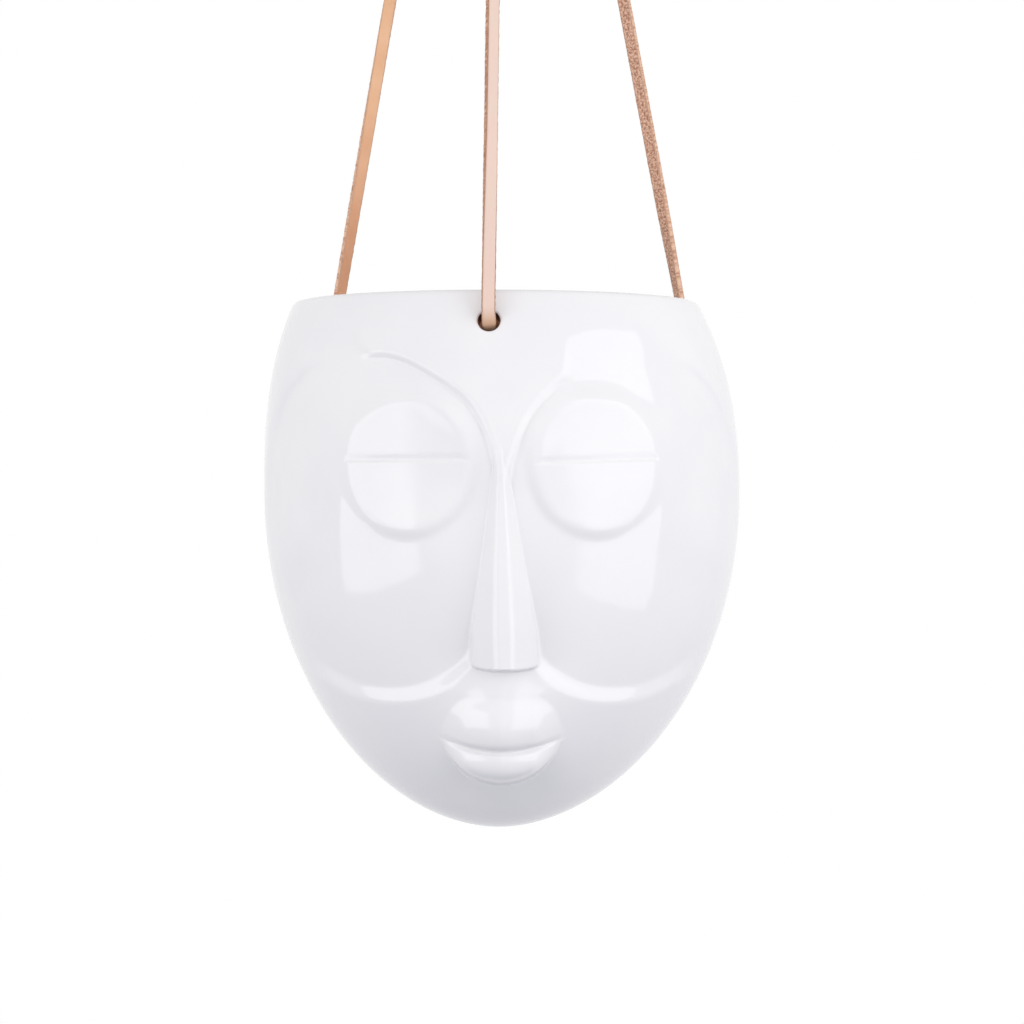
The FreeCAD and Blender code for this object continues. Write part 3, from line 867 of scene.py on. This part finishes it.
def turned_ways(points, first_way, twist):
    """The way the lace's face looks at each point: carried along the line, then twisted by degrees."""
    tangents = np.gradient(points, axis=0)
    tangents /= np.linalg.norm(tangents, axis=1)[:, None]
    way = np.asarray(first_way, dtype=float)
    ways = []
    for tangent, share in zip(tangents, share_along(points)):
        way = way - tangent * (way @ tangent)
        way /= np.linalg.norm(way)
        turn = math.radians(twist(share))
        ways.append(way * math.cos(turn) + np.cross(tangent, way) * math.sin(turn))
    return np.array(ways)


# Camera

CAMERA_PLACE = (0.0035, -1.1, -0.4265)
CAMERA_LENS, CAMERA_SENSOR = 110.5, 36


def add_camera():
    """The camera at the photograph's place: level, a little below the pot's widest line."""
    camera = bpy.data.cameras.new("camera")
    camera.lens = CAMERA_LENS
    camera.sensor_width = CAMERA_SENSOR
    camera.clip_start = 0.01
    holder = bpy.data.objects.new("camera", camera)
    holder.location = CAMERA_PLACE
    holder.rotation_euler = (math.pi / 2, 0, 0)
    bpy.context.scene.collection.objects.link(holder)
    bpy.context.scene.camera = holder


add_camera()


# Laces


def even_tone(value):
    """One tone all along a run."""
    return lambda share: np.full_like(share, value)


def knot_tone(share):
    """The gathering knot's and the loop's leather is tanned a little deeper than the fair lace."""
    return 0.45 + 0.2 * share


# Twist in degrees and tone, by the share of the way from the stop knot to the gathering knot
LACE_TWISTS = {
    "front": lambda share: 6 + 29 * smooth(0.04, 0.24, share),
    "left": lambda share: 172 - 60 * smooth(0.02, 0.55, share),
    "right": lambda share: -9 + 36 * smooth(0.05, 0.22, share),
}
LACE_TONES = {
    # painted shade: the front lace is a deeper, warmer tan where it bends into its hole, for the warm shade
    # there
    "front": lambda share: 0.35 * (1 - smooth(0.02, 0.042, share)),
    "left": lambda share: 0.82 - 0.37 * smooth(0.06, 0.45, share),
    "right": even_tone(0.4),
}


def in_lace_plane(turn, place):
    """A place in a lace's own plane, put in the row frame."""
    away, height = place
    return np.array([away * math.sin(turn), -away * math.cos(turn), height])


def hang_lace(name):
    """One lace from its stop knot out through its hole and up to the gathering knot."""
    turn = math.radians(LACE_TURNS[name])
    start, corner, end = (np.array(p) for p in (LACE_START, LACE_CORNER, LACE_END))
    run_out = corner - start
    upward = (end - corner) / np.linalg.norm(end - corner)
    near = corner + upward * np.linalg.norm(run_out)
    controls = [in_lace_plane(turn, p) for p in (start, corner, near, end)]
    points = smooth_route(f"{name}_route", controls)
    # The face that looks down in the hole looks outwards once the lace has bent upwards.
    downward = in_lace_plane(turn, (run_out[1], -run_out[0]))
    ways = turned_ways(points, downward, LACE_TWISTS[name])
    piece = flat_piece(f"{name}_lace_strap", [(points, ways)], LACE_TONES[name])
    tie_on(piece, f"{name}_lace")
    return piece, points


def declare_lace(points, knots):
    """The lace's length along its course, summed and not kept. The pieces tied on it are not used."""
    run = float(np.linalg.norm(np.diff(points, axis=0), axis=1).sum())


# Knots and loop

TURN_STEPS = 8  # control points to a turn of wound lace
STOP_KNOT = {"length": 0.0088, "radius": 0.0036, "turns": 1.2, "tail": 0.004}
GATHERING_KNOT = {"length": 0.0136, "radius": 0.0060, "turns": 2.15, "tail": 0.006}


def wound_lace(name, foot, axis, length, radius, turns, tail):
    """A run of lace wound round an axis from its foot, its start tucked in and its end out as a tail."""
    axis = np.asarray(axis, dtype=float)
    first = np.cross(axis, (0.3, 0.2, 0.93) if abs(axis[2]) < 0.8 else (0.9, 0.4, 0.1))
    first /= np.linalg.norm(first)
    second = np.cross(axis, first)

    def place(turn, along, away):
        turn = turn * FULL_TURN
        return foot + axis * along + (first * math.cos(turn) + second * math.sin(turn)) * away

    low, high = 0.5 * LACE_WIDTH, length - 0.5 * LACE_WIDTH
    controls = [place(-0.3, low + 0.0012, 0.4 * radius), place(-0.14, low + 0.0004, 0.85 * radius)]
    count = int(round(TURN_STEPS * turns))
    for k in range(count + 1):
        wander = 1.08 + 0.03 * math.sin(2.4 * k)
        controls.append(place(k / TURN_STEPS, low + (high - low) * k / count, wander * radius))
    for further, down, away in ((0.12, 0, 0), (0.2, 0.2, 0.35), (0.24, 0.7, 0.6)):
        controls.append(place(turns + further, high - down * tail, 1.2 * radius + away * tail))
    points = smooth_route(name, controls)
    off = points - foot
    ways = off - np.outer(off @ axis, axis)
    return points, ways / np.linalg.norm(ways, axis=1)[:, None]


def straight_lace(start, end, way):
    """A short straight run of lace."""
    points = np.linspace(start, end, 8)
    return points, np.tile(np.asarray(way, dtype=float), (len(points), 1))


def untwisted(share):
    """No twist anywhere along a run."""
    return 0


def tie_stop_knot(name):
    """The knot inside the pot that keeps a lace from slipping out of its hole."""
    turn = math.radians(LACE_TURNS[name])
    _, outward, aside, upward = lace_hole(turn)
    moved = outward[0] * float(sway(HOLE_HEIGHT)) * MM
    foot = in_lace_plane(turn, LACE_START) + outward * moved
    winding = wound_lace(f"{name}_winding", foot, -outward, **STOP_KNOT)
    core = straight_lace(foot + outward * 0.003, foot - outward * 0.0145, upward)
    controls = [foot + aside * a - outward * b + upward * 0.0034
                for a, b in ((-0.0050, 0.0060), (-0.0052, 0.0012), (0.0052, 0.0012), (0.0050, 0.0060))]
    bridge = smooth_route(f"{name}_bridge", controls)
    across_hole = bridge, turned_ways(bridge, -aside, untwisted)
    # painted shade: the knot is coloured deep tan so that it looks as dark through its hole as the shade in
    # there
    piece = flat_piece(f"{name}_tied_knot", [winding, core, across_hole], even_tone(0.9))
    tie_on(piece, f"{name}_stop_knot")
    return piece


def tie_gathering_knot():
    """The knot that binds the three laces and the loop's two ends."""
    foot = np.array([0, 0, LACE_END[1] - 0.0018])
    winding = wound_lace("gathering_winding", foot, (0, 0, 1), **GATHERING_KNOT)
    low, high = (0, 0, -0.0325), (0, 0, -0.0235)
    cores = [straight_lace(low, high, way) for way in ((1, 0, 0), (0, 1, 0))]
    piece = flat_piece("gathering_tied_knot", [winding, *cores], knot_tone)
    tie_on(piece, "gathering_knot")
    return piece


def hang_loop():
    """The lace that runs from the gathering knot over the ring's wire and back."""
    half, low, bend, high = 0.0030, -0.0260, -0.0140, -0.0094
    rising = [(0, half, z) for z in (low, bend, high)]
    falling = [(0, -half, z) for z in (high, bend, low)]
    points = smooth_route("loop_route", rising + falling)
    ways = turned_ways(points, (0, 1, 0), untwisted)
    piece = flat_piece("loop_strap", [(points, ways)], knot_tone)
    tie_on(piece, "hanging_loop")
    return piece


top_pieces = [tie_gathering_knot(), hang_loop()]
for lace_name in LACE_TURNS:
    strap, course = hang_lace(lace_name)
    declare_lace(course, [tie_stop_knot(lace_name), *top_pieces])
    top_pieces = []

# Pot

pot = glazed_pot()
pot.data.materials.append(glaze)
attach(pot, "hung_pot")
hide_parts("mask_pot")

# Ring: its solid is shown as it is, in a better finish

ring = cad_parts["hanging_ring"]
ring.data.materials.clear()
ring.data.materials.append(steel)


# Studio

FLOOR_HALF, FLOOR_Z = 3, -1.35


def softbox(name, place, width, height, radiance, fade):
    """A large soft lamp turned to the planter, which fades in over part of its width."""
    lamp = bpy.data.lights.new(name, "AREA")
    lamp.shape = "RECTANGLE"
    lamp.size, lamp.size_y = width, height
    lamp.energy = radiance * math.pi * width * height
    lamp.use_nodes = True
    tree = lamp.node_tree
    tree.nodes.clear()
    spot = Wire.node(tree, "ShaderNodeNewGeometry", None, None, "Parametric")
    across = Wire.node(tree, "ShaderNodeSeparateXYZ", None, {0: spot})
    low, high = (1.0, 1.0 - fade) if place[0] < 0 else (0.0, fade)
    glow = Wire.node(tree, "ShaderNodeEmission", None, {"Strength": across.step(low, high)})
    Wire.node(tree, "ShaderNodeOutputLight", None, {"Surface": glow})
    holder = bpy.data.objects.new(name, lamp)
    holder.location = place
    way = Vector((-place[0], -place[1], 0))
    holder.rotation_euler = way.to_track_quat("-Z", "Y").to_euler()
    bpy.context.scene.collection.objects.link(holder)


def seen_plainly(tree):
    """1 for the rays that show the backdrop itself: to the camera, or by a glossy or clear surface."""
    rays = tree.nodes.new("ShaderNodeLightPath")
    kinds = ("Camera", "Glossy", "Transmission")
    camera, glossy, clear = (Wire(tree, rays.outputs[f"Is {kind} Ray"]) for kind in kinds)
    return (camera + glossy + clear).sum("MINIMUM", 1.0)


def white_tent():
    """A plain white backdrop, and as fill light a tent that glows most in front and at eye level."""
    world = bpy.data.worlds.new("studio")
    bpy.context.scene.world = world
    world.use_nodes = True
    tree = world.node_tree
    tree.nodes.clear()
    seen = seen_plainly(tree)
    white = Wire.node(tree, "ShaderNodeBackground", None, {"Color": (1, 1, 1, 1), "Strength": 1.0})
    way = Wire.node(tree, "ShaderNodeTexCoord", None, None, "Generated")
    up = Wire.node(tree, "ShaderNodeSeparateXYZ", None, {0: way}, 2)
    front = Wire.node(tree, "ShaderNodeSeparateXYZ", None, {0: way}, 1) * -1
    glow = 0.44 + up.step(-0.5, 0.1) * 0.5 - up.step(0.0, 0.8) * 0.4 + front.step(0.0, 1.0) * 0.42
    fill = Wire.node(tree, "ShaderNodeBackground", None, {"Color": (0.99, 0.985, 1, 1), "Strength": glow})
    both = Wire.node(tree, "ShaderNodeMixShader", None, {0: seen, 1: fill, 2: white})
    Wire.node(tree, "ShaderNodeOutputWorld", None, {"Surface": both})


def pale_floor():
    """A pale floor well under the planter."""
    floor = bpy.data.meshes.new("floor")
    corners = [(x * FLOOR_HALF, y * FLOOR_HALF, FLOOR_Z) for x, y in ((-1, -1), (1, -1), (1, 1), (-1, 1))]
    floor.from_pydata(corners, [], [(0, 1, 2, 3)])
    ground = bpy.data.objects.new("floor", floor)
    bpy.context.scene.collection.objects.link(ground)
    pale = bpy.data.materials.new("pale_floor")
    pale.use_nodes = True
    tree = pale.node_tree
    tree.nodes.clear()
    seen = seen_plainly(tree)
    matt = Wire.node(tree, "ShaderNodeBsdfDiffuse", None, {"Color": (0.42, 0.43, 0.49, 1)})
    bright = Wire.node(tree, "ShaderNodeEmission", None, {"Color": (1, 1, 1, 1), "Strength": 1.12})
    both = Wire.node(tree, "ShaderNodeMixShader", None, {0: seen * 0.86, 1: matt, 2: bright})
    # Seen from beneath, the floor is clear, so that the pot's underside can be looked at.
    beneath = Wire.node(tree, "ShaderNodeNewGeometry", None, None, "Backfacing")
    clear = Wire.node(tree, "ShaderNodeBsdfTransparent")
    both = Wire.node(tree, "ShaderNodeMixShader", None, {0: beneath, 1: both, 2: clear})
    Wire.node(tree, "ShaderNodeOutputMaterial", None, {"Surface": both})
    floor.materials.append(pale)


softbox("left_softbox", (-1.03, -0.618, -0.58), width=1.02, height=0.72, radiance=1.62, fade=0.14)
softbox("right_softbox", (0.988, -0.691, -0.395), width=1.125, height=1.29, radiance=1.37, fade=0.22)
white_tent()
pale_floor()
bpy.context.scene.view_settings.view_transform = "Standard"
